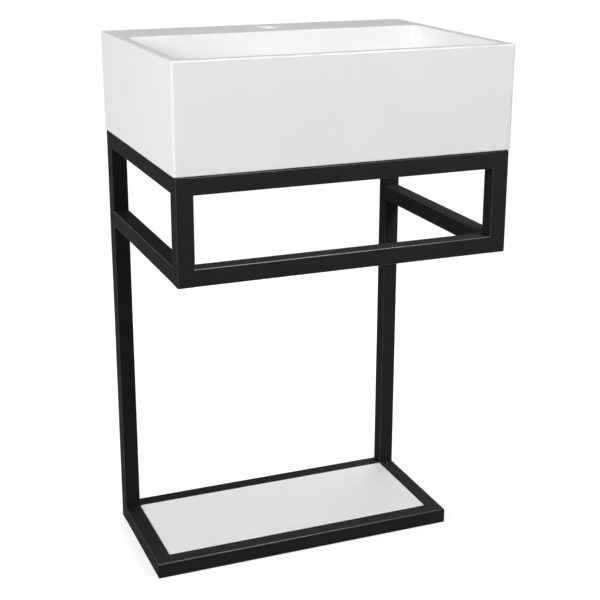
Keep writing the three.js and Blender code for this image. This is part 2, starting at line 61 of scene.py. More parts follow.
MM = 0.001
TOUCH = 0.01 * MM       # points nearer than this are at the same place
FIT_GAP = 0.3 * MM      # room between the parts of the waste that slide over one another
LOOP_POINTS = 64        # points of every loop in the basin's skin and of its tap hole
FACES_ALONG = 0.9       # a normal's part along an axis, past which a face looks that way
CORNERS = ("front_left", "front_right", "rear_left", "rear_right")
UPRIGHTS = ("left_leg", "right_leg", "left_front_post", "right_front_post")

# One turn of a thread: how deep each point is cut, and how far up the turn it stands.
THREAD_TURN = ((1, 0.06), (0, 0.44), (0, 0.56), (1, 0.94))


# ------------------------------------------------------------------ settings

def linear_colour(hex_code):
    """The linear red, green and blue of an sRGB colour written as six hex digits."""
    values = [int(hex_code[i:i + 2], 16) / 255 for i in (0, 2, 4)]
    return [v / 12.92 if v <= 0.04045 else ((v + 0.055) / 1.055) ** 2.4 for v in values]


def length(name, description, millimetres):
    return FloatProperty(
        name=name, description=description, default=millimetres * MM, min=0,
        precision=4, subtype="DISTANCE", unit="LENGTH",
    )


def power(name, description, watts):
    return FloatProperty(
        name=name, description=description, default=watts, min=0,
        subtype="POWER", unit="POWER",
    )


def colour(name, description, hex_code):
    return FloatVectorProperty(
        name=name, description=description, default=linear_colour(hex_code),
        size=3, min=0, max=1, subtype="COLOR",
    )


class BasinSettings(bpy.types.PropertyGroup):
    """Sizes of the basin's bowl, edges and underside"""
    rim_width: length("Rim width", "Width of the rim at the front and sides", 15)
    ledge_depth: length("Ledge depth", "Depth of the tap ledge behind the bowl", 101)
    bowl_depth: length("Bowl depth", "From the rim down to the drain", 112)
    floor_fall: length("Floor fall", "How far the bowl's floor falls to the drain", 7)
    wall_draft: length("Wall draft", "How far the bowl's walls lean in by the floor", 3.5)
    bowl_corner: length("Bowl corner", "Upright corner radius at the bowl's lip", 11)
    heel_corner: length("Heel corner", "Upright corner radius at the bowl's floor", 27)
    floor_fillet: length("Floor fillet", "Radius between the bowl's walls and floor", 14)
    outer_corner: length("Outer corner", "Radius of the basin's upright corners", 4)
    top_edge: length("Top edge", "Radius along the basin's top outer edge", 3)
    lip_edge: length("Lip edge", "Radius along the bowl's lip", 2.5)
    bottom_edge: length("Bottom edge", "Radius along the basin's bottom edge", 1.5)
    skirt_wall: length("Skirt wall", "Thickness of the skirt round the underside", 15)
    floor_thickness: length("Floor thickness", "Clay under the drain", 14)
    cavity_corner: length("Cavity corner", "Upright corner radius under the basin", 8)
    cavity_fillet: length("Cavity fillet", "Radius round the ceiling of the underside", 6)
    bowl_back_wall: length("Bowl back wall", "Wall between the bowl and the tap space", 16)
    deck_thickness: length("Deck thickness", "Clay of the tap ledge", 14)
    tap_hole: length("Tap hole", "Diameter of the tap hole", 35)
    tap_hole_edge: length("Tap hole edge", "Radius round the tap hole", 1.6)
    drain_hole: length("Drain hole", "Diameter of the drain hole", 46)
    drain_seat: length("Drain seat", "Diameter of the recess for the flange", 65.6)
    seat_depth: length("Seat depth", "Depth of the recess for the flange", 3.5)
    drain_rim_edge: length("Drain rim edge", "Radius round the drain's recess", 0.8)
    pocket_step: length("Pocket step", "How far the ledge's hollow stands in", 1)


class StandSettings(bpy.types.PropertyGroup):
    """Sizes of the tube, caps, shelf and feet"""
    tube_wall: length("Tube wall", "Wall thickness of the square tube", 1.5)
    tube_corner: length("Tube corner", "Radius along the tube's edges", 2)
    cap_edge: length("Cap edge", "Radius round the ground edge of an end cap", 1.2)
    shelf_edge: length("Shelf edge", "Radius round the shelf panel's faces", 0.9)
    tab_corner: length("Tab corner", "Radius of a shelf tab's free corners", 6)
    tab_edge: length("Tab edge", "Broken edge of a shelf tab", 0.4)
    screw_hole: length("Screw hole", "Wall screw hole in the rear rail", 7)
    driver_hole: length("Driver hole", "Screwdriver hole in front of a screw hole", 14)
    screw_inset: length("Screw inset", "Wall screw in from the leg", 73)
    mitre_seam: length("Mitre seam", "Gap between mitred tubes at the front", 0.05)
    foot_head: length("Foot head", "Height of a foot's head", 4)
    foot_edge: length("Foot edge", "Radius round a foot's head", 1)
    stud: length("Foot stud", "Diameter of a foot's threaded stud", 8)
    stud_pitch: length("Stud pitch", "Thread pitch of a foot's stud", 1.25)
    stud_depth: length("Stud depth", "Thread depth of a foot's stud", 0.7)


class WasteSettings(bpy.types.PropertyGroup):
    """Sizes of the waste and its plug"""
    bore: length("Bore", "Bore of the waste", 35)
    inlet: length("Inlet", "Diameter of the flange's opening", 48)
    tail: length("Tail", "Outside diameter of the tail", 41.9)
    flange_thickness: length("Flange thickness", "Thickness of the flange", 2.5)
    flange_lip: length("Flange lip", "Radius round the flange", 0.8)
    tail_pitch: length("Tail pitch", "Thread pitch of the waste's tail", 2.309)
    thread_depth: length("Thread depth", "Depth of the tail's thread", 1.2)
    threaded: length("Threaded length", "Length of thread on the tail", 52)
    plug_edge: length("Plug edge", "Radius under the plug's rim", 0.7)
    plug_crown: length("Plug crown", "Rise of the plug's dome", 2.5)
    plug_rim: length("Plug rim", "Height of the plug's upright edge", 2)
    plug_stem: length("Plug stem", "Diameter of the plug's stem", 6)
    plug_lip: length("Plug lip", "Height of the lip that holds the seal", 1.5)
    plug_lip_reach: length("Plug lip reach", "How far that lip stands out", 1)
    seal_width: length("Seal width", "Width of the plug's seal", 3)
    nut_chamfer: length("Nut chamfer", "Height of the nut's turned chamfers", 1.6)
    gasket_hole: length("Gasket hole", "Hole in the gasket under the flange", 48)
    gasket_taper: length("Gasket taper", "Taper of the gasket under the basin", 4)


class FinishSettings(bpy.types.PropertyGroup):
    """Colours of the finishes"""
    glaze: colour("Glaze", "White glaze of the basin", "F4F4F3")
    clay: colour("Clay", "Bare fired clay under the basin", "DED8CB")
    coat: colour("Powder coat", "Black coat of the stand", "1B1B1B")
    # A lighter grey painted on the stand's rounded edges as a highlight.
    coat_painted_highlight: colour("Painted edge highlight", "Lighter coat on rounded edges, painted on as a highlight", "3A3A3A")
    shelf: colour("Shelf", "White shelf panel", "F3F3F2")
    chrome: colour("Chrome", "Chrome of the waste", "C8CACC")
    brass: colour("Brass", "Bare brass of the nut", "D8B46E")
    zinc: colour("Zinc", "Zinc plate of the foot sockets", "B9BDC2")
    nylon: colour("Nylon", "Natural nylon of the feet", "E2DED2")
    rubber: colour("Rubber", "Black rubber of the gaskets", "1B1B1C")
    silicone: colour("Silicone", "Translucent silicone of the pads", "C9CDCE")


class StudioSettings(bpy.types.PropertyGroup):
    """Floor, lamps and camera"""
    floor: colour("Floor", "Pale studio floor", "B4B4B4")
    floor_size: FloatProperty(
        name="Floor size", description="Side of the square floor", default=80,
        subtype="DISTANCE", unit="LENGTH",
    )
    floor_glow: FloatProperty(
        name="Floor glow", description="Whiteness of the floor as it is seen",
        default=0.72, min=0,
    )
    ambient: FloatProperty(
        name="Ambient", description="Brightness of the studio's walls and ceiling",
        default=0.1, min=0,
    )
    key_power: power("Key lamp", "The wide lamp at the front left", 166)
    fill_power: power("Fill lamp", "The lamp high at the front right", 43)
    low_power: power("Low lamp", "The low lamp behind, which lights the shelf", 19)
    glint_power: power("Glint lamp", "The narrow lamp that only shows in reflections", 650)
    camera_place: FloatVectorProperty(
        name="Camera place", description="Where the camera stands",
        default=(-0.69124, -1.71335, 1.02650), size=3, precision=4,
        subtype="TRANSLATION", unit="LENGTH",
    )
    camera_turn: FloatProperty(
        name="Camera turn", description="Camera's turn from facing the wall squarely",
        default=math.radians(-21.57), subtype="ANGLE", unit="ROTATION",
    )
    camera_dip: FloatProperty(
        name="Camera dip", description="How far the camera looks down",
        default=math.radians(16.77), subtype="ANGLE", unit="ROTATION",
    )
    lens: FloatProperty(
        name="Lens", description="Focal length on a 36 mm sensor", default=75.46,
        subtype="DISTANCE_CAMERA", unit="CAMERA",
    )
    shift_across: FloatProperty(
        name="Shift across", description="Sideways lens shift", default=0.0157,
    )
    shift_up: FloatProperty(
        name="Shift up", description="Upward lens shift", default=-0.0587,
    )


# ------------------------------------------------------------------ modelling by hand

def middle_of(node):
    low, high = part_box(node)
    return (low + high) / 2


def heights_and_radius(node):
    """A turned node's lowest and highest heights, and its radius."""
    low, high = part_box(node)
    return low.z, high.z, (high.x - low.x) / 2


def deselect_everything():
    if bpy.context.mode != "OBJECT":
        bpy.ops.object.mode_set(mode="OBJECT")
    bpy.ops.object.select_all(action="DESELECT")


def pick(piece):
    """Leaves edit mode and makes a piece the only one selected."""
    deselect_everything()
    piece.select_set(True)
    bpy.context.view_layer.objects.active = piece


def open_piece(name):
    """Names the object just added, fixes its place in its mesh and opens it for editing."""
    piece = bpy.context.object
    piece.name = name
    piece.data.name = name
    bpy.ops.object.transform_apply(location=True, rotation=True, scale=True)
    bpy.ops.object.mode_set(mode="EDIT")
    bpy.ops.mesh.select_mode(type="VERT")
    bpy.ops.mesh.select_all(action="DESELECT")
    return piece


def open_again(piece):
    pick(piece)
    bpy.ops.object.mode_set(mode="EDIT")


def start_block(name, low, high):
    """A cube that fills the space between two corners."""
    deselect_everything()
    bpy.ops.mesh.primitive_cube_add(size=1, location=(low + high) / 2, scale=high - low)
    return open_piece(name)


def start_cylinder(name, place, radius, depth, sides, rotation=(0, 0, 0)):
    deselect_everything()
    bpy.ops.mesh.primitive_cylinder_add(
        vertices=sides, radius=radius, depth=depth, location=place, rotation=rotation)
    return open_piece(name)


def select_parts(piece, kind, test):
    """Selects just the faces or edges that pass the test."""
    bpy.ops.mesh.select_mode(type=kind)
    bpy.ops.mesh.select_all(action="DESELECT")
    shape = bmesh.from_edit_mesh(piece.data)
    shape.normal_update()
    parts = shape.faces if kind == "FACE" else shape.edges
    chosen = [part for part in parts if not part.hide and test(part)]
    if not chosen:
        raise RuntimeError(f"{piece.name}: no {kind.lower()} is where it should be")
    for part in chosen:
        part.select_set(True)
    bmesh.update_edit_mesh(piece.data)


def select_faces(piece, test):
    """Selects the faces whose middle and normal pass the test."""
    select_parts(piece, "FACE", lambda face: test(face.calc_center_median(), face.normal))


def select_edges(piece, test):
    """Selects the edges whose two ends pass the test together."""
    select_parts(piece, "EDGE", lambda edge: test(edge.verts[0].co, edge.verts[1].co))


def along(axis, a, b):
    """Whether an edge runs along axis 0, 1 or 2."""
    return all(abs(a[i] - b[i]) < TOUCH for i in range(3) if i != axis)


def upright(a, b):
    return along(2, a, b)


def level_at(height, a, b):
    return abs(a.z - height) < TOUCH and abs(b.z - height) < TOUCH


def level_ends(low, high):
    """A test of whether an edge lies in the lowest or the highest face of a block."""
    return lambda a, b: level_at(low.z, a, b) or level_at(high.z, a, b)


def round_edges(radius, segments=4):
    bpy.ops.mesh.bevel(
        offset=radius, offset_type="OFFSET", segments=segments, profile=0.5,
        affect="EDGES", clamp_overlap=False,
    )


def face_outwards():
    """Turns all normals of the open piece outwards."""
    bpy.ops.mesh.select_all(action="SELECT")
    bpy.ops.mesh.normals_make_consistent(inside=False)


def apply_modifier(piece, kind, **settings):
    """Adds a modifier to a piece and applies it."""
    pick(piece)
    modifier = piece.modifiers.new(kind.title(), kind)
    for name, value in settings.items():
        setattr(modifier, name, value)
    bpy.ops.object.modifier_apply(modifier=modifier.name)


def cut_with(piece, cutter, operation="DIFFERENCE"):
    """Cuts a piece with another object, which is then gone."""
    apply_modifier(piece, "BOOLEAN", object=cutter, operation=operation, solver="EXACT")
    mesh = cutter.data
    bpy.data.objects.remove(cutter)
    bpy.data.meshes.remove(mesh)


def turn_profile(name, centre, profile, steps):
    """Turns a profile of (radius, height) points once round an upright line."""
    deselect_everything()
    start = Vector((centre.x + profile[0][0], centre.y, profile[0][1]))
    bpy.ops.mesh.primitive_plane_add(size=1 * MM, location=start)
    piece = open_piece(name)
    bpy.ops.mesh.select_all(action="SELECT")
    bpy.ops.mesh.merge(type="CENTER")
    for (r0, z0), (r1, z1) in zip(profile, profile[1:]):
        bpy.ops.mesh.extrude_region_move(
            TRANSFORM_OT_translate={"value": (r1 - r0, 0, z1 - z0)},
        )
    bpy.ops.mesh.select_all(action="SELECT")
    bpy.ops.mesh.spin(
        steps=steps, angle=2 * math.pi, center=(centre.x, centre.y, 0), axis=(0, 0, 1),
    )
    bpy.ops.mesh.select_all(action="SELECT")
    bpy.ops.mesh.remove_doubles(threshold=TOUCH)
    face_outwards()
    return piece


def arc(centre, radius, start, end, steps=5):
    """Profile points along an arc about (radius, height), between two angles in degrees."""
    points = []
    for i in range(steps + 1):
        angle = math.radians(start + (end - start) * i / steps)
        points.append((
            centre[0] + radius * math.cos(angle),
            centre[1] + radius * math.sin(angle),
        ))
    return points


def ring_profile(inner, outer, low, high, edge, steps):
    """Closed profile of a flat ring with round edges."""
    profile = arc((inner + edge, low + edge), edge, 180, 270, steps)
    profile += arc((outer - edge, low + edge), edge, -90, 0, steps)
    profile += arc((outer - edge, high - edge), edge, 0, 90, steps)
    profile += arc((inner + edge, high - edge), edge, 90, 180, steps)
    return profile + profile[:1]


def threads(radius, depth, low, high, pitch):
    """Profile points up a thread, drawn as rings, from its lower end."""
    points = []
    for turn in range(int((high - low) / pitch)):
        root = low + turn * pitch
        points += [
            (radius - sunk * depth, root + part * pitch) for sunk, part in THREAD_TURN]
    return points


def finish_piece(piece, slot, node, body="stand", smooth=35):
    """Shades a piece, gives it its finish and puts it in place of its CAD node."""
    if not piece.data.polygons:
        raise RuntimeError(f"{piece.name} has no faces")
    pick(piece)
    bpy.ops.object.shade_smooth_by_angle(angle=math.radians(smooth))
    apply_modifier(piece, "WEIGHTED_NORMAL", keep_sharp=True, weight=80)
    if not piece.data.materials:
        piece.data.materials.append(finish(slot))
    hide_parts(node)
    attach(piece, body)
    deselect_everything()


def dress_node(node, slot):
    """Gives a CAD node that stays as it is its finish."""
    for material_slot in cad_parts[node].material_slots:
        material_slot.link = "OBJECT"
        material_slot.material = finish(slot)


def model_alike(nodes, ending, model):
    """Models the first of some like pieces, and copies it to where each other one goes.

    Each copy has its own mesh. None of them is finished yet.
    """
    first = model(f"{nodes[0]}_{ending}", *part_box(nodes[0]))
    pieces = [first]
    for node in nodes[1:]:
        pick(first)
        bpy.ops.object.duplicate()
        bpy.ops.transform.translate(value=middle_of(node) - middle_of(nodes[0]))
        bpy.ops.object.transform_apply(location=True, rotation=True, scale=True)
        piece = bpy.context.object
        piece.name = piece.data.name = f"{node}_{ending}"
        pieces.append(piece)
    return pieces


def turn_piece(node, ending, slot, profile, steps=64, body="stand"):
    """Turns a piece round the middle of its node, and finishes it."""
    piece = turn_profile(f"{node}_{ending}", middle_of(node), profile, steps)
    finish_piece(piece, slot, node, body)


def rounded_block(name, low, high, *rounds):
    """A block whose edges are rounded in turn, each round a test and how to round."""
    block = start_block(name, low, high)
    for test, *rounding in rounds:
        select_edges(block, test)
        round_edges(*rounding)
    return block


# ------------------------------------------------------------------ finishes

WHITE = (1, 1, 1, 1)
SOFT_REACH = (0.3, 0.7)     # the part of a noise's range in which a pattern changes over
FLOOR_CLOUDS = 0.8          # size of the floor's faint clouds
FLOOR_WHITENS = (0.5, 3.0)  # how far off the floor starts to whiten, and is all white


def add_node(owner, kind, settings, links=None, ends=(), output=0):
    """Adds one node, and gives one of its outputs unless it has none.

    Settings name its inputs or its own properties. Links name its inputs, or number
    them. Ends are the places and colours of the two ends of a colour ramp.
    """
    node = owner.node_tree.nodes.new(kind)
    for name, value in settings.items():
        if name in node.inputs:
            node.inputs[name].default_value = value
        else:
            setattr(node, name, value)
    for name, source in (links or {}).items():
        owner.node_tree.links.new(source, node.inputs[name])
    for number, (position, value) in enumerate(ends):
        node.color_ramp.elements[number].position = position
        node.color_ramp.elements[number].color = (*value, 1)
    return node.outputs[output] if node.outputs else None


def make_material(name, recipe, settings):
    """The material of that name, made by its recipe when it is first asked for."""
    if name not in bpy.data.materials:
        material = bpy.data.materials.new(name)
        material.use_nodes = True
        material.node_tree.nodes.clear()
        recipe(material, settings)
    return bpy.data.materials[name]


def finish(slot):
    """The material of one of the record's slots, or of the basin's bare clay."""
    return make_material(*FINISHES[slot], bpy.context.scene.pedestal_sink_finish)


def shade(colour_values, factor):
    return [min(1, value * factor) for value in colour_values]


def make_surface(material, settings, tint, roughness, relief=None, edge_highlight=None):
    """A surface whose colour, roughness and relief each follow a pattern.

    A pattern is a factor, or the size and detail of soft patches of noise. Tint is a
    pattern and two colours, and may say over which part of the pattern's range they
    change over. Roughness is a pattern and two values, and relief a pattern and its
    height. Edge highlight is a factor, the colour of a painted highlight and the roughness
    where it lies.
    """
    place = add_node(material, "ShaderNodeTexCoord", {}, output="Object")

    def factor_of(pattern):
        if not isinstance(pattern, tuple):
            return pattern
        size, detail = pattern
        return add_node(
            material, "ShaderNodeTexNoise",
            {"Scale": 1 / size, "Detail": detail, "Roughness": 0.5}, {"Vector": place})

    pattern, first, second, *reach = tint
    start, end = reach or SOFT_REACH
    inputs = {"Base Color": add_node(
        material, "ShaderNodeValToRGB", {}, {"Fac": factor_of(pattern)},
        ends=((start, first), (end, second)))}
    pattern, low, high = roughness
    start, end = SOFT_REACH
    inputs["Roughness"] = add_node(
        material, "ShaderNodeMapRange",
        {"From Min": start, "From Max": end, "To Min": low, "To Max": high},
        {"Value": factor_of(pattern)})
    if relief:
        pattern, height = relief
        inputs["Normal"] = add_node(
            material, "ShaderNodeBump", {"Distance": height},
            {"Height": factor_of(pattern)})
    # Paints the lighter highlight colour where the factor is one, and makes the surface
    # smoother there.
    if edge_highlight:
        highlight_factor, highlight_colour, highlight_roughness = edge_highlight
        inputs["Base Color"] = add_node(
            material, "ShaderNodeMixRGB", {"Color2": (*highlight_colour, 1)},
            {"Fac": highlight_factor, "Color1": inputs["Base Color"]})
        inputs["Roughness"] = add_node(
            material, "ShaderNodeMapRange", {"To Max": highlight_roughness},
            {"Value": highlight_factor, "To Min": inputs["Roughness"]})
    shader = add_node(material, "ShaderNodeBsdfPrincipled", settings, inputs)
    add_node(material, "ShaderNodeOutputMaterial", {}, {"Surface": shader})


def poured_glaze(material, colours):
    """White glaze: milky white with a soft satin sheen that blurs what it reflects.

    Slow waves, as a poured coat has, bend its highlights a little.
    """
    make_surface(
        material, {"IOR": 1.5, "Specular IOR Level": 0.045},
        tint=((70 * MM, 2.0), shade(colours.glaze, 0.985), colours.glaze),
        roughness=((9 * MM, 2.0), 0.44, 0.52),
        relief=((28 * MM, 1.0), 0.05 * MM),
    )


def bare_clay(material, colours):
    """Bare fireclay: warm, dry and sandy, with darker grains of grog."""
    grains = (1.6 * MM, 3.0)
    make_surface(
        material, {"IOR": 1.45},
        tint=(grains, shade(colours.clay, 0.86), colours.clay, 0.35, 0.55),
        roughness=(grains, 0.95, 0.8),
        relief=(grains, 0.12 * MM),
    )


def painted_highlight_mask(material):
    """One along rounded edges, facing between two axes, where a painted highlight goes; zero
    on flat sides.
    """
    facing = add_node(material, "ShaderNodeTexCoord", {}, output="Normal")
    size = add_node(
        material, "ShaderNodeVectorMath", {"operation": "ABSOLUTE"}, {"Vector": facing})
    largest, *others = add_node(
        material, "ShaderNodeSeparateXYZ", {}, {"Vector": size}).node.outputs
    for other in others:
        largest = add_node(
            material, "ShaderNodeMath", {"operation": "MAXIMUM"}, {0: largest, 1: other})
    return add_node(
        material, "ShaderNodeMapRange",
        {"From Min": 0.8, "From Max": 0.97, "To Min": 1.0, "To Max": 0.0},
        {"Value": largest})


def black_powder_coat(material, colours):
    """Baked powder coat: soft black with a low sheen, smoother on its edges, where a lighter
    grey is painted on as a highlight.

    Its orange peel is drawn at 1.8 mm, wider than the real 1 mm, so that it can be seen.
    """
    patches = (45 * MM, 2.0)
    make_surface(
        material, {"IOR": 1.5, "Specular IOR Level": 0.05},
        tint=(patches, shade(colours.coat, 0.85), shade(colours.coat, 1.1)),
        roughness=(patches, 0.74, 0.84),
        relief=((1.8 * MM, 1.0), 0.04 * MM),
        # Rounded edges get a lighter coat colour, a painted highlight, and a lower
        # roughness.
        edge_highlight=(painted_highlight_mask(material), colours.coat_painted_highlight, 0.3),
    )


def solid_surface(material, colours):
    """Sanded acrylic stone: matt and even, with faint pale and grey specks of filler."""
    specks = (2.2 * MM, 4.0)
    make_surface(
        material, {"IOR": 1.5, "Specular IOR Level": 0.12},
        tint=(specks, shade(colours.shelf, 0.95), colours.shelf, 0.38, 0.52),
        roughness=(specks, 0.52, 0.6),
        relief=(specks, 0.01 * MM),
    )


def clear_silicone(material, colours):
    """Clear silicone: cloudy, slightly bluish and soft-edged."""
    clouds = (4 * MM, 2.0)
    make_surface(
        material, {"IOR": 1.41, "Transmission Weight": 0.25},
        tint=(clouds, shade(colours.silicone, 0.94), colours.silicone),
        roughness=(clouds, 0.3, 0.45),
    )


def zinc_plate(material, colours):
    """Bright zinc: cold silver with a patchy, slightly cloudy shine."""
    patches = (3 * MM, 3.0)
    make_surface(
        material, {"Metallic": 1.0},
        tint=(patches, shade(colours.zinc, 0.88), colours.zinc),
        roughness=(patches, 0.28, 0.42),
    )


def moulded_nylon(material, colours):
    """Natural nylon: waxy, off-white and a little see-through at its edges."""
    clouds = (5 * MM, 2.0)
    make_surface(
        material,
        {"IOR": 1.53, "Subsurface Weight": 0.15, "Subsurface Scale": 2 * MM},
        tint=(clouds, shade(colours.nylon, 0.95), colours.nylon),
        roughness=(clouds, 0.42, 0.52),
        relief=((0.9 * MM, 2.0), 0.01 * MM),
    )


def chrome_plate(material, colours):
    """Polished chrome: a cool mirror with the faintest film of water marks."""
    film = (12 * MM, 3.0)
    make_surface(
        material, {"Metallic": 1.0},
        tint=(film, shade(colours.chrome, 0.97), colours.chrome),
        roughness=(film, 0.05, 0.1),
    )


def turned_brass(material, colours):
    """Turned brass: warm yellow metal with the lathe's fine rings across its faces."""
    centre = middle_of("waste_flange")
    place = add_node(material, "ShaderNodeTexCoord", {}, output="Object")
    centred = add_node(
        material, "ShaderNodeMapping", {"Location": (-centre.x, -centre.y, 0)},
        {"Vector": place})
    rings = add_node(
        material, "ShaderNodeTexWave",
        {
            "wave_type": "RINGS", "rings_direction": "Z", "Scale": 0.35 / MM,
            "Distortion": 0.6, "Detail": 2.0, "Detail Scale": 1.5,
        },
        {"Vector": centred}, output="Fac")
    make_surface(
        material, {"Metallic": 1.0},
        tint=((6 * MM, 2.0), shade(colours.brass, 0.88), colours.brass),
        roughness=(rings, 0.24, 0.34),
        relief=(rings, 0.015 * MM),
    )


def black_rubber(material, colours):
    """Moulded rubber: dull near-black with a dusty bloom."""
    bloom = (3.5 * MM, 3.0)
    make_surface(
        material, {"IOR": 1.5, "Specular IOR Level": 0.3},
        tint=(bloom, colours.rubber, shade(colours.rubber, 1.6)),
        roughness=(bloom, 0.68, 0.85),
        relief=((0.8 * MM, 2.0), 0.02 * MM),
    )


def seen_ray(owner):
    """One for what the camera sees directly, in a reflection or through glass."""
    rays = add_node(owner, "ShaderNodeLightPath", {}).node.outputs
    seen = rays["Is Camera Ray"]
    for name in ("Is Glossy Ray", "Is Transmission Ray"):
        seen = add_node(
            owner, "ShaderNodeMath", {"operation": "MAXIMUM"}, {0: seen, 1: rays[name]})
    return seen


def pale_floor(material, sizes):
    """Pale matt floor: white to the eye further off, and shaded close to the stand."""
    place = add_node(material, "ShaderNodeTexCoord", {}, output="Object")
    clouds = add_node(
        material, "ShaderNodeTexNoise",
        {"Scale": 1 / FLOOR_CLOUDS, "Detail": 2.0, "Roughness": 0.5}, {"Vector": place})
    start, end = SOFT_REACH
    tint = add_node(
        material, "ShaderNodeValToRGB", {}, {"Fac": clouds},
        ends=((start, shade(sizes.floor, 0.98)), (end, sizes.floor)))
    away = add_node(
        material, "ShaderNodeVectorMath", {"operation": "LENGTH"}, {"Vector": place},
        output="Value")
    near, far = FLOOR_WHITENS
    whiteness = add_node(
        material, "ShaderNodeMapRange",
        {"From Min": near, "From Max": far, "To Min": sizes.floor_glow, "To Max": 1.0},
        {"Value": away})
    strength = add_node(
        material, "ShaderNodeMapRange", {},
        {"Value": seen_ray(material), "To Max": whiteness})
    matt = add_node(material, "ShaderNodeBsdfDiffuse", {}, {"Color": tint})
    glow = add_node(
        material, "ShaderNodeEmission", {"Color": WHITE}, {"Strength": strength})
    both = add_node(material, "ShaderNodeAddShader", {}, {0: matt, 1: glow})
    add_node(material, "ShaderNodeOutputMaterial", {}, {"Surface": both})


FINISHES = {
    "glazed_ceramic": ("satin_white_glaze", poured_glaze),
    "bare_clay": ("bare_fired_clay", bare_clay),
    "black_powder_coat": ("satin_black_powder_coat", black_powder_coat),
    "white_solid_surface": ("matt_white_solid_surface", solid_surface),
    "silicone_pad": ("clear_silicone", clear_silicone),
    "zinc_plated_steel": ("bright_zinc_plate", zinc_plate),
    "nylon": ("natural_moulded_nylon", moulded_nylon),
    "chrome": ("polished_chrome", chrome_plate),
    "brass": ("turned_brass", turned_brass),
    "rubber": ("black_rubber", black_rubber),
}


# ------------------------------------------------------------------ basin

def keep_loop(piece, name):
    """Stores the only loop in sight as a named group and puts it out of the way."""
    bpy.ops.mesh.select_all(action="SELECT")
    bpy.ops.object.vertex_group_assign_new()
    piece.vertex_groups.active.name = name
    bpy.ops.mesh.hide(unselected=False)


def add_outline(piece, height, low, high, corner):
    """A level rectangle with round corners, as a loop of LOOP_POINTS points.

    Each corner has 8 points and each side is cut in 9, so no point lies midway along a
    side and the tap hole falls inside one face.
    """
    middle = (low + high) / 2
    middle.z = height
    bpy.ops.mesh.primitive_plane_add(size=1, location=middle)
    bpy.ops.transform.resize(
        value=(high.x - low.x, high.y - low.y, 1), center_override=middle)
    bpy.ops.mesh.bevel(
        offset=corner, offset_type="OFFSET", segments=7, profile=0.5, affect="VERTICES",
    )
    bpy.ops.mesh.select_all(action="SELECT")
    bpy.ops.mesh.delete(type="ONLY_FACE")
    select_edges(piece, lambda a, b: (a - b).length > 2 * corner)
    bpy.ops.mesh.subdivide(number_cuts=8)


def add_circle(piece, height, centre, radius):
    """A level circle of LOOP_POINTS points, turned half a step to match the outlines."""
    bpy.ops.mesh.primitive_circle_add(
        vertices=LOOP_POINTS, radius=radius, fill_type="NOTHING",
        location=(centre.x, centre.y, height), rotation=(0, 0, math.pi / LOOP_POINTS),
    )


def show_loops(*names):
    """Selects just the edges of the named loops."""
    bpy.ops.mesh.select_mode(type="VERT")
    bpy.ops.mesh.select_all(action="DESELECT")
    for name in names:
        bpy.ops.object.vertex_group_set_active(group=name)
        bpy.ops.object.vertex_group_select()
    bpy.ops.mesh.select_mode(type="EDGE")


def skin_loops(piece, loops):
    """Joins loops of (name, height, add, shape) in order and round again into one skin.

    They are stacked well apart while they are joined, so that no wall comes out twisted,
    and are then moved to their own heights.
    """
    spacing = 100 * MM
    for order, (name, _, add, shape) in enumerate(loops):
        add(piece, order * spacing, *shape)
        keep_loop(piece, name)
    bpy.ops.mesh.reveal(select=False)
    for loop, following in zip(loops, loops[1:] + loops[:1]):
        show_loops(loop[0], following[0])
        bpy.ops.mesh.bridge_edge_loops()
    for order, (name, height, *_) in enumerate(loops):
        show_loops(name)
        bpy.ops.transform.translate(value=(0, 0, height - order * spacing))


def inset_corners(low, high, by):
    step = Vector((by, by, 0))
    return low + step, high - step


def inside(low, high, reach=TOUCH):
    """A test of whether a point stands within a level rectangle, or in reach of it."""
    return lambda p: (
        low.x - reach < p.x < high.x + reach and low.y - reach < p.y < high.y + reach)


def outside(low, high):
    return lambda p: not inside(low, high)(p)


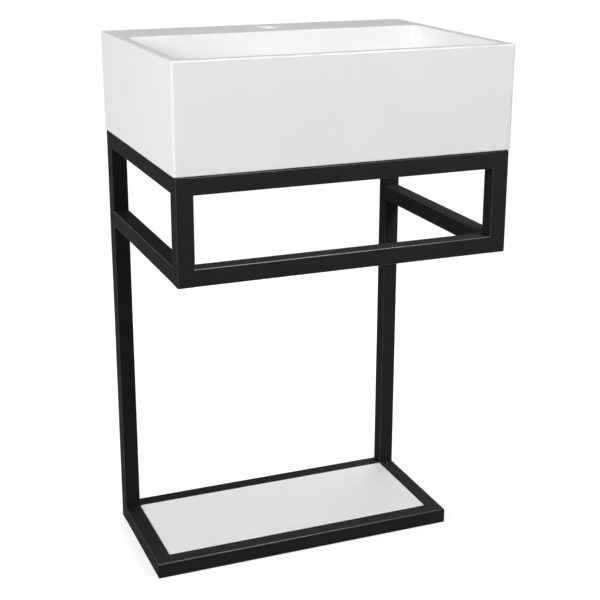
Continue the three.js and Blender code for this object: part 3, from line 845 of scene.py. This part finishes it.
def basin_shell(sizes, low, high, drain):
    """The basin as one closed skin, from the underside over the rim and down the drain."""
    floor = high.z - sizes.bowl_depth
    seat = floor - sizes.seat_depth
    ceiling = floor - sizes.floor_thickness
    bowl_low = Vector((low.x + sizes.rim_width, low.y + sizes.rim_width, 0))
    bowl_high = Vector((high.x - sizes.rim_width, high.y - sizes.ledge_depth, 0))
    mouth_low, mouth_high = inset_corners(low, high, sizes.skirt_wall)
    heel_low, heel_high = inset_corners(bowl_low, bowl_high, sizes.wall_draft)

    deselect_everything()
    bpy.ops.mesh.primitive_plane_add(size=1)
    basin = open_piece("basin_ceramic")
    bpy.ops.mesh.select_all(action="SELECT")
    bpy.ops.mesh.delete(type="VERT")
    heel = floor + sizes.floor_fall
    skin_loops(basin, [
        ("mouth", low.z, add_outline, (mouth_low, mouth_high, sizes.cavity_corner)),
        ("foot", low.z, add_outline, (low, high, sizes.outer_corner)),
        ("crown", high.z, add_outline, (low, high, sizes.outer_corner)),
        ("lip", high.z, add_outline, (bowl_low, bowl_high, sizes.bowl_corner)),
        ("heel", heel, add_outline, (heel_low, heel_high, sizes.heel_corner)),
        ("seat_rim", floor, add_circle, (drain, sizes.drain_seat / 2)),
        ("seat", seat, add_circle, (drain, sizes.drain_seat / 2)),
        ("drain_top", seat, add_circle, (drain, sizes.drain_hole / 2)),
        ("drain_foot", ceiling, add_circle, (drain, sizes.drain_hole / 2)),
        ("ceiling", ceiling, add_outline, (mouth_low, mouth_high, sizes.cavity_corner)),
    ])
    select_edges(basin, lambda a, b: (
        abs(abs(a.z - b.z) - sizes.floor_fall) < TOUCH and max(a.z, b.z) < heel + TOUCH))
    bpy.ops.mesh.subdivide(number_cuts=3)
    middle_low, middle_high = inset_corners(mouth_low, mouth_high, sizes.cavity_corner / 2)
    rounds = [
        (low.z, sizes.bottom_edge, 3, outside(mouth_low, mouth_high)),
        (high.z, sizes.top_edge, 6, outside(bowl_low, bowl_high)),
        (high.z, sizes.lip_edge, 6, inside(bowl_low, bowl_high)),
        (heel, sizes.floor_fillet, 8, inside(low, high)),
        (ceiling, sizes.cavity_fillet, 4, outside(middle_low, middle_high)),
        (floor, sizes.drain_rim_edge, 3, inside(low, high)),
    ]
    for height, radius, segments, where in rounds:
        select_edges(
            basin, lambda a, b: level_at(height, a, b) and where(a) and where(b))
        round_edges(radius, segments)
    face_outwards()
    return basin


def ledge_pocket(sizes, low, high):
    """The hollow under the tap ledge, open to the space under the basin."""
    side = sizes.skirt_wall + sizes.pocket_step
    pocket_low = Vector((
        low.x + side,
        high.y - sizes.ledge_depth + sizes.bowl_back_wall,
        low.z + sizes.skirt_wall,
    ))
    pocket_high = Vector((high.x - side, high.y - side, high.z - sizes.deck_thickness))
    return rounded_block(
        "ledge_pocket", pocket_low, pocket_high, (upright, sizes.cavity_corner, 6),
        (lambda a, b: level_at(pocket_high.z, a, b), sizes.cavity_fillet, 4),
    )


def glaze_and_clay(basin, sizes, low, high):
    """Glaze on what shows, bare clay on the foot ring and in the hollow underside."""
    basin.data.materials.append(finish("glazed_ceramic"))
    basin.data.materials.append(finish("bare_clay"))
    in_hollow = inside(*inset_corners(low, high, sizes.skirt_wall / 2), reach=0)
    margin = 1 * MM
    foot = low.z + margin
    deck = high.z - sizes.deck_thickness + margin
    bowl_back = high.y - sizes.ledge_depth + margin
    bowl_foot = high.z - sizes.bowl_depth - sizes.seat_depth + margin

    def is_bare(middle, normal):
        foot_ring = normal.z < -FACES_ALONG and middle.z < foot
        behind_bowl = middle.y > bowl_back and middle.z < deck
        return foot_ring or (in_hollow(middle) and (behind_bowl or middle.z < bowl_foot))

    open_again(basin)
    select_faces(basin, is_bare)
    basin.active_material_index = 1
    bpy.ops.object.material_slot_assign()


class PEDESTAL_SINK_OT_basin(bpy.types.Operator):
    """Models the fireclay basin with its bowl, tap ledge, drain seat and hollow underside"""
    bl_idname = "pedestal_sink.basin"
    bl_label = "Basin"

    def execute(self, context):
        sizes = context.scene.pedestal_sink_basin
        low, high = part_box("basin")
        basin = basin_shell(sizes, low, high, middle_of("waste_flange"))
        cut_with(basin, ledge_pocket(sizes, low, high))
        tap = Vector(((low.x + high.x) / 2, high.y - sizes.ledge_depth / 2, 0))
        bottom = high.z - 2 * sizes.deck_thickness
        top = high.z + sizes.deck_thickness
        cut_with(basin, start_cylinder(
            "tap_hole_cutter", (tap.x, tap.y, (bottom + top) / 2), sizes.tap_hole / 2,
            top - bottom, LOOP_POINTS))
        open_again(basin)
        rim = sizes.tap_hole / 2 + TOUCH
        select_edges(basin, lambda a, b: level_at(high.z, a, b) and (
            (a.xy - tap.xy).length < rim and (b.xy - tap.xy).length < rim))
        round_edges(sizes.tap_hole_edge, 5)
        glaze_and_clay(basin, sizes, low, high)
        finish_piece(basin, "glazed_ceramic", "basin")
        return {"FINISHED"}


# ------------------------------------------------------------------ stand

def make_tube(name, low, high, axis, sizes):
    """Square tube with round edges and a real wall, open at both ends."""
    tube = start_block(name, low, high)
    select_faces(tube, lambda middle, normal: abs(normal[axis]) > FACES_ALONG)
    bpy.ops.mesh.delete(type="FACE")
    select_edges(tube, lambda a, b: along(axis, a, b))
    round_edges(sizes.tube_corner)
    apply_modifier(
        tube, "SOLIDIFY", thickness=sizes.tube_wall, offset=-1, use_even_offset=True)
    return tube


def mitre(tube, corner, outward):
    """Cuts a tube's end through an upright line, and closes the cut wall."""
    open_again(tube)
    bpy.ops.mesh.select_all(action="SELECT")
    bpy.ops.mesh.bisect(
        plane_co=corner, plane_no=outward, use_fill=False, clear_inner=False,
        clear_outer=True,
    )
    bpy.ops.mesh.select_mode(type="EDGE")
    bpy.ops.mesh.select_all(action="DESELECT")
    bpy.ops.mesh.select_non_manifold(use_wire=False, use_multi_face=False, use_verts=False)
    bpy.ops.mesh.bridge_edge_loops()
    face_outwards()


def reach_into(low, high, axis, start, end):
    """Lengthens a rail at its start and end so that it runs into what it is welded to."""
    low = low.copy()
    high = high.copy()
    low[axis] -= start
    high[axis] += end
    return low, high


def finish_coated(nodes, ending, model):
    """Models like pieces of the stand and gives them their black coat."""
    for node, piece in zip(nodes, model_alike(nodes, ending, model)):
        finish_piece(piece, "black_powder_coat", node)


class PEDESTAL_SINK_OT_uprights(bpy.types.Operator):
    """Models the two rear legs, the two front posts and their welded end caps"""
    bl_idname = "pedestal_sink.uprights"
    bl_label = "Legs and posts"

    def execute(self, context):
        sizes = context.scene.pedestal_sink_stand

        def upright_tube(name, low, high):
            return make_tube(name, low, high, 2, sizes)

        finish_coated(UPRIGHTS[:2], "tube", upright_tube)
        finish_coated(UPRIGHTS[2:], "tube", upright_tube)
        for end in ("top", "bottom"):
            self.end_caps(sizes, end)
        return {"FINISHED"}

    def end_caps(self, sizes, end):
        """Caps whose outer rim is ground round, at one end of all four uprights."""
        def cap(name, low, high):
            rim = high.z if end == "top" else low.z
            return rounded_block(
                name, low, high, (upright, sizes.tube_corner),
                (lambda a, b: level_at(rim, a, b), sizes.cap_edge))

        finish_coated([f"{name}_{end}_cap" for name in UPRIGHTS], "plate", cap)


class PEDESTAL_SINK_OT_cage_rails(bpy.types.Operator):
    """Models the rails of the cage under the basin"""
    bl_idname = "pedestal_sink.cage_rails"
    bl_label = "Cage rails"

    def execute(self, context):
        sizes = context.scene.pedestal_sink_stand
        weld = sizes.tube_corner

        def across(name, low, high):
            return make_tube(name, *reach_into(low, high, 0, weld, weld), 0, sizes)

        def to_wall(name, low, high):
            return make_tube(name, *reach_into(low, high, 1, weld, 0), 1, sizes)

        def drilled(name, low, high):
            rail = across(name, low, high)
            self.drill(rail, sizes, low, high)
            return rail

        finish_coated(("front_lower_rail", "front_top_rail"), "tube", across)
        finish_coated(
            ("left_lower_rail", "left_top_rail", "right_lower_rail", "right_top_rail"),
            "tube", to_wall)
        finish_coated(("rear_top_rail",), "tube", drilled)
        return {"FINISHED"}

    def drill(self, rail, sizes, low, high):
        """Two wall screw holes, each behind a wider one that lets the driver in."""
        height = (low.z + high.z) / 2
        from_middle = (high.x - low.x) / 2
        for side in (-1, 1):
            across = side * (from_middle - sizes.screw_inset)
            for diameter, wall in ((sizes.driver_hole, low.y), (sizes.screw_hole, high.y)):
                cut_with(rail, start_cylinder(
                    "drill", (across, wall, height), diameter / 2, 4 * sizes.tube_wall,
                    sides=40, rotation=(math.pi / 2, 0, 0)))


class PEDESTAL_SINK_OT_base_ring(bpy.types.Operator):
    """Models the base ring, mitred at its front corners"""
    bl_idname = "pedestal_sink.base_ring"
    bl_label = "Base ring"

    def execute(self, context):
        sizes = context.scene.pedestal_sink_stand
        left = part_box("base_left_rail")
        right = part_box("base_right_rail")
        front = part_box("base_front_rail")
        corner_left = Vector((left[0].x, front[0].y, 0))
        corner_right = Vector((right[1].x, front[0].y, 0))
        seam = Vector((sizes.mitre_seam / 2, 0, 0))

        low = Vector((corner_left.x, front[0].y, front[0].z))
        high = Vector((corner_right.x, front[1].y, front[1].z))
        rail = make_tube("base_front_rail_tube", low, high, 0, sizes)
        mitre(rail, corner_left + seam, Vector((-1, 1, 0)))
        mitre(rail, corner_right - seam, Vector((1, 1, 0)))
        finish_piece(rail, "black_powder_coat", "base_front_rail")

        for name, box, corner, inward in (
            ("base_left_rail", left, corner_left, 1),
            ("base_right_rail", right, corner_right, -1),
        ):
            low = Vector((box[0].x, front[0].y, box[0].z))
            rail = make_tube(f"{name}_tube", low, box[1], 1, sizes)
            mitre(rail, corner - inward * seam, Vector((inward, -1, 0)))
            finish_piece(rail, "black_powder_coat", name)

        weld = sizes.tube_corner
        low, high = reach_into(*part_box("base_rear_rail"), 0, weld, weld)
        rail = make_tube("base_rear_rail_tube", low, high, 0, sizes)
        finish_piece(rail, "black_powder_coat", "base_rear_rail")
        return {"FINISHED"}


class PEDESTAL_SINK_OT_shelf(bpy.types.Operator):
    """Models the shelf panel and its four tabs, and finishes its pads"""
    bl_idname = "pedestal_sink.shelf"
    bl_label = "Shelf"

    def execute(self, context):
        sizes = context.scene.pedestal_sink_stand
        low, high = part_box("shelf_panel")
        panel = rounded_block(
            "shelf_panel_slab", low, high, (upright, sizes.tube_corner),
            (level_ends(low, high), sizes.shelf_edge))
        finish_piece(panel, "white_solid_surface", "shelf_panel")
        self.tabs(sizes, CORNERS[:2], faces_wall=True)
        self.tabs(sizes, CORNERS[2:], faces_wall=False)
        for corner in CORNERS:
            dress_node(f"shelf_pad_{corner}", "silicone_pad")
            dress_node(f"basin_pad_{corner}", "silicone_pad")
        return {"FINISHED"}

    def tabs(self, sizes, corners, faces_wall):
        """Tabs with two round corners, at the end that isn't welded."""
        def tab(name, low, high):
            free_end = high.y if faces_wall else low.y
            return rounded_block(
                name, low, high,
                (lambda a, b: upright(a, b) and abs(a.y - free_end) < TOUCH,
                 sizes.tab_corner, 6),
                (level_ends(low, high), sizes.tab_edge, 2))

        finish_coated([f"shelf_tab_{corner}" for corner in corners], "plate", tab)


class PEDESTAL_SINK_OT_feet(bpy.types.Operator):
    """Models the four levelling feet with threaded studs, and finishes their sockets"""
    bl_idname = "pedestal_sink.feet"
    bl_label = "Levelling feet"

    def execute(self, context):
        sizes = context.scene.pedestal_sink_stand
        nodes = [f"levelling_foot_{corner}" for corner in CORNERS]
        feet = model_alike(
            nodes, "moulding", lambda name, low, high: self.foot(name, low, high, sizes))
        for corner, node, foot in zip(CORNERS, nodes, feet):
            finish_piece(foot, "nylon", node, body=f"foot_{corner}")
            dress_node(f"foot_socket_{corner}", "zinc_plated_steel")
        return {"FINISHED"}

    def foot(self, name, low, high, sizes):
        head = (high.x - low.x) / 2
        top = low.z + sizes.foot_head
        edge = sizes.foot_edge
        stud = sizes.stud / 2
        root = stud - sizes.stud_depth
        profile = [(0, low.z)]
        profile += arc((head - edge, low.z + edge), edge, -90, 0)
        profile += arc((head - edge / 2, top - edge / 2), edge / 2, 0, 90, 3)
        profile += [(root, top)]
        profile += threads(stud, sizes.stud_depth, top, high.z - edge, sizes.stud_pitch)
        profile += [(root - edge, high.z), (0, high.z)]
        return turn_profile(name, (low + high) / 2, profile, steps=40)


# ------------------------------------------------------------------ waste

class PEDESTAL_SINK_OT_waste(bpy.types.Operator):
    """Models the waste's flange, threaded tail, back nut, washer and gaskets"""
    bl_idname = "pedestal_sink.waste"
    bl_label = "Waste"

    def execute(self, context):
        sizes = context.scene.pedestal_sink_waste
        neck = sizes.tail / 2 + FIT_GAP
        self.flange(sizes)
        self.tail(sizes)
        self.nut(sizes, neck)
        self.ring("slip_washer", "nylon", neck)
        self.ring("flange_gasket", "rubber", sizes.gasket_hole / 2)
        self.basin_gasket(sizes, neck)
        dress_node("plug_spider", "brass")
        return {"FINISHED"}

    def flange(self, sizes):
        low, high, outer = heights_and_radius("waste_flange")
        bore = sizes.bore / 2
        inlet = sizes.inlet / 2
        tail = sizes.tail / 2
        under = high - sizes.flange_thickness
        lip = sizes.flange_lip
        profile = [(bore, low), (tail, low), (tail, under), (outer - FIT_GAP, under)]
        profile += arc((outer - lip, under + lip), lip, -20, 60)
        profile += [(outer - 3 * lip, high), (inlet + lip / 2, high)]
        profile += arc((inlet + lip / 2, high - lip / 2), lip / 2, 100, 135, 3)
        profile += [(bore, low)]
        turn_piece("waste_flange", "turning", "chrome", profile, steps=96)

    def tail(self, sizes):
        low, high, outer = heights_and_radius("waste_tail")
        bore = sizes.bore / 2
        depth = sizes.thread_depth
        start = low + sizes.tail_pitch
        top = start + sizes.threaded
        profile = [(bore, low), (outer - depth, low), (outer - depth, start)]
        profile += threads(outer, depth, start, top, sizes.tail_pitch)
        profile += [(outer - depth, top), (outer, top + depth), (outer, high)]
        profile += [(bore, high), (bore, low)]
        turn_piece("waste_tail", "turning", "chrome", profile, steps=72)

    def nut(self, sizes, bore):
        """A hexagon turned down at both ends, with a bore that opens out at both ends."""
        low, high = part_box("back_nut")
        centre = middle_of("back_nut")
        corner = (high.x - low.x) / 2
        flats = (high.y - low.y) / 2
        clear = corner + 1 * MM
        bevel = sizes.nut_chamfer
        nut = start_cylinder(
            "back_nut_hexagon", centre, corner, high.z - low.z, sides=6,
            rotation=(0, 0, math.radians(30)))
        cone = turn_profile("nut_cone", centre, [
            (0, low.z), (flats, low.z), (clear, low.z + bevel),
            (clear, high.z - bevel), (flats, high.z), (0, high.z),
        ], steps=96)
        cut_with(nut, cone, "INTERSECT")
        hole = turn_profile("nut_bore", centre, [
            (0, low.z - bevel), (bore + bevel, low.z - bevel),
            (bore, low.z + bevel / 2), (bore, high.z - bevel / 2),
            (bore + bevel, high.z + bevel), (0, high.z + bevel),
        ], steps=96)
        cut_with(nut, hole)
        finish_piece(nut, "brass", "back_nut", smooth=20)

    def ring(self, node, slot, inner):
        """A flat ring with slightly rounded edges, round the waste's neck."""
        low, high, outer = heights_and_radius(node)
        turn_piece(
            node, "ring", slot, ring_profile(inner, outer, low, high, 0.3 * MM, 3))

    def basin_gasket(self, sizes, inner):
        low, high, outer = heights_and_radius("basin_gasket")
        foot = outer - sizes.gasket_taper
        edge = 0.6 * MM
        rim = 1.4 * MM
        profile = [(inner, low)]
        profile += arc((foot - edge, low + edge), edge, -90, -30, 3)
        profile += [(outer, high - rim)]
        profile += arc((outer - edge, high - edge), edge, 0, 90, 3)
        profile += [(inner, high), (inner, low)]
        turn_piece("basin_gasket", "moulding", "rubber", profile)


class PEDESTAL_SINK_OT_plug(bpy.types.Operator):
    """Models the push-to-open plug's domed cap and seal, and finishes its cartridge"""
    bl_idname = "pedestal_sink.plug"
    bl_label = "Plug"

    def execute(self, context):
        sizes = context.scene.pedestal_sink_waste
        self.cap(sizes)
        self.seal(sizes)
        dress_node("plug_cartridge", "brass")
        return {"FINISHED"}

    def cap(self, sizes):
        low, high, outer = heights_and_radius("waste_plug")
        hub = heights_and_radius("plug_seal")[2] - sizes.seal_width - FIT_GAP
        lip_reach = hub + sizes.plug_lip_reach
        under = high - sizes.plug_crown - sizes.plug_rim
        groove = under - sizes.seal_width
        lip = groove - sizes.plug_lip
        stem = sizes.plug_stem / 2
        edge = sizes.plug_edge
        rim = high - sizes.plug_crown
        chamfer = 0.5 * MM
        profile = [(0, low), (stem - chamfer, low), (stem, low + chamfer), (stem, lip)]
        profile += [(lip_reach, lip), (lip_reach, groove), (hub, groove), (hub, under)]
        profile += arc((outer - edge, under + edge), edge, -90, 0, 4)
        steps = 16
        for i in range(steps):
            angle = math.pi / 2 * i / steps
            profile.append((
                outer * math.cos(angle), rim + sizes.plug_crown * math.sin(angle)))
        profile += [(0, high)]
        turn_piece("waste_plug", "cap", "chrome", profile, steps=96, body="plug")

    def seal(self, sizes):
        low, high, outer = heights_and_radius("plug_seal")
        profile = ring_profile(outer - sizes.seal_width, outer, low, high, 0.8 * MM, 4)
        turn_piece("plug_seal", "ring", "rubber", profile, steps=72, body="plug")


# ------------------------------------------------------------------ studio

LAMPS_AIM = Vector((0, 0, 0.6))
SENSOR_WIDTH = 36       # in millimetres, as Blender has it


class PEDESTAL_SINK_OT_studio(bpy.types.Operator):
    """Makes the floor, the lamps, the surroundings and the camera"""
    bl_idname = "pedestal_sink.studio"
    bl_label = "Studio"

    def execute(self, context):
        sizes = context.scene.pedestal_sink_studio
        context.scene.view_settings.view_transform = "Standard"
        self.floor(sizes)
        self.surroundings(context.scene, sizes)
        self.lamp("key_lamp", sizes.key_power, (-3.74, -1.91, 2.2), (4.0, 1.8))
        self.lamp("low_lamp", sizes.low_power, (0.6, 1.5, 0.72), (1.8, 0.3))
        self.lamp("fill_lamp", sizes.fill_power, (1.2, -2.3, 2.5), (1.2, 1.2))
        glint = self.lamp("glint_lamp", sizes.glint_power, (0.85, -1.2, 2.8), (0.8, 0.12))
        glint.visible_glossy = True
        glint.visible_diffuse = False
        self.camera(context.scene, sizes)
        return {"FINISHED"}

    def floor(self, sizes):
        deselect_everything()
        bpy.ops.mesh.primitive_plane_add(size=sizes.floor_size, location=(0, 0, 0))
        floor = bpy.context.object
        floor.name = "studio_floor"
        floor.data.materials.append(make_material("pale_studio_floor", pale_floor, sizes))

    def surroundings(self, scene, sizes):
        """White where they are seen or reflected, and dim and even as a light."""
        world = bpy.data.worlds.new("studio_surroundings")
        world.use_nodes = True
        world.node_tree.nodes.clear()
        strength = add_node(
            world, "ShaderNodeMapRange", {"To Min": sizes.ambient, "To Max": 1.0},
            {"Value": seen_ray(world)})
        light = add_node(
            world, "ShaderNodeBackground", {"Color": WHITE}, {"Strength": strength})
        add_node(world, "ShaderNodeOutputWorld", {}, {"Surface": light})
        scene.world = world

    def lamp(self, name, power, place, sides):
        """A soft rectangular lamp that faces the middle of the stand and isn't seen."""
        deselect_everything()
        place = Vector(place)
        aim = LAMPS_AIM - place
        bpy.ops.object.light_add(
            type="AREA", location=place, rotation=aim.to_track_quat("-Z", "Y").to_euler())
        lamp = bpy.context.object
        lamp.name = name
        lamp.data.shape = "RECTANGLE"
        lamp.data.size, lamp.data.size_y = sides
        lamp.data.energy = power
        lamp.visible_camera = False
        lamp.visible_glossy = False
        return lamp

    def camera(self, scene, sizes):
        deselect_everything()
        bpy.ops.object.camera_add(
            location=sizes.camera_place,
            rotation=Euler((math.pi / 2 - sizes.camera_dip, 0, sizes.camera_turn)),
        )
        camera = bpy.context.object
        camera.name = "studio_camera"
        camera.data.sensor_width = SENSOR_WIDTH
        camera.data.lens = sizes.lens
        camera.data.shift_x = sizes.shift_across
        camera.data.shift_y = sizes.shift_up
        scene.camera = camera


# ------------------------------------------------------------------ panel and start

class PEDESTAL_SINK_PT_pieces(bpy.types.Panel):
    """Lists the sink's operators and settings in the sidebar"""
    bl_idname = "PEDESTAL_SINK_PT_pieces"
    bl_label = "Pedestal Sink"
    bl_space_type = "VIEW_3D"
    bl_region_type = "UI"
    bl_category = "Pedestal Sink"

    def draw(self, context):
        for operator in OPERATORS:
            self.layout.operator(operator.bl_idname)
        for name, _ in SETTINGS:
            box = self.layout.box()
            settings = getattr(context.scene, name)
            for key in settings.bl_rna.properties.keys():
                if key not in ("rna_type", "name"):
                    box.prop(settings, key)


SETTINGS = (
    ("pedestal_sink_basin", BasinSettings),
    ("pedestal_sink_stand", StandSettings),
    ("pedestal_sink_waste", WasteSettings),
    ("pedestal_sink_finish", FinishSettings),
    ("pedestal_sink_studio", StudioSettings),
)

OPERATORS = (
    PEDESTAL_SINK_OT_basin,
    PEDESTAL_SINK_OT_uprights,
    PEDESTAL_SINK_OT_cage_rails,
    PEDESTAL_SINK_OT_base_ring,
    PEDESTAL_SINK_OT_shelf,
    PEDESTAL_SINK_OT_feet,
    PEDESTAL_SINK_OT_waste,
    PEDESTAL_SINK_OT_plug,
    PEDESTAL_SINK_OT_studio,
)


def register():
    for name, settings in SETTINGS:
        bpy.utils.register_class(settings)
        setattr(bpy.types.Scene, name, PointerProperty(type=settings))
    for operator in OPERATORS:
        bpy.utils.register_class(operator)
    bpy.utils.register_class(PEDESTAL_SINK_PT_pieces)


def unregister():
    bpy.utils.unregister_class(PEDESTAL_SINK_PT_pieces)
    for operator in reversed(OPERATORS):
        bpy.utils.unregister_class(operator)
    for name, settings in reversed(SETTINGS):
        delattr(bpy.types.Scene, name)
        bpy.utils.unregister_class(settings)


def main():
    register()
    bpy.ops.pedestal_sink.basin()
    bpy.ops.pedestal_sink.uprights()
    bpy.ops.pedestal_sink.cage_rails()
    bpy.ops.pedestal_sink.base_ring()
    bpy.ops.pedestal_sink.shelf()
    bpy.ops.pedestal_sink.feet()
    bpy.ops.pedestal_sink.waste()
    bpy.ops.pedestal_sink.plug()
    bpy.ops.pedestal_sink.studio()


if __name__ == "__main__":
    main()
